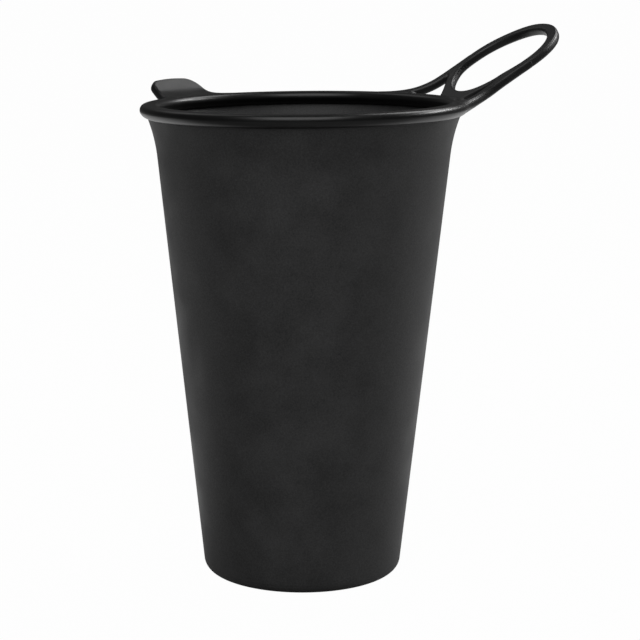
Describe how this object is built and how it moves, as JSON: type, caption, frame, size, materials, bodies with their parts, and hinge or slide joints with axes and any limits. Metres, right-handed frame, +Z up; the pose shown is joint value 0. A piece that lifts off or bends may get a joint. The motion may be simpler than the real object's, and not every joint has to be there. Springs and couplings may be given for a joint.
{
  "type": "folding cup",
  "caption": "Soft tapered drinking cup with a rolled rim bead, a finger loop bent up from the rim and a pull tab, moulded as one flexible piece.",
  "frame": {"origin": "centre of the base underside, on the surface that the cup stands on", "axes": "+Z up along the cup's axis, out of its mouth; +X towards the finger loop"},
  "size_m": [0.0973, 0.0799, 0.121],
  "materials": {
    "soft_rubber": "matte charcoal body with a satin rim, loop and tab"
  },
  "bodies": {
    "root": {"cup": "soft_rubber"}
  },
  "joints": []
}
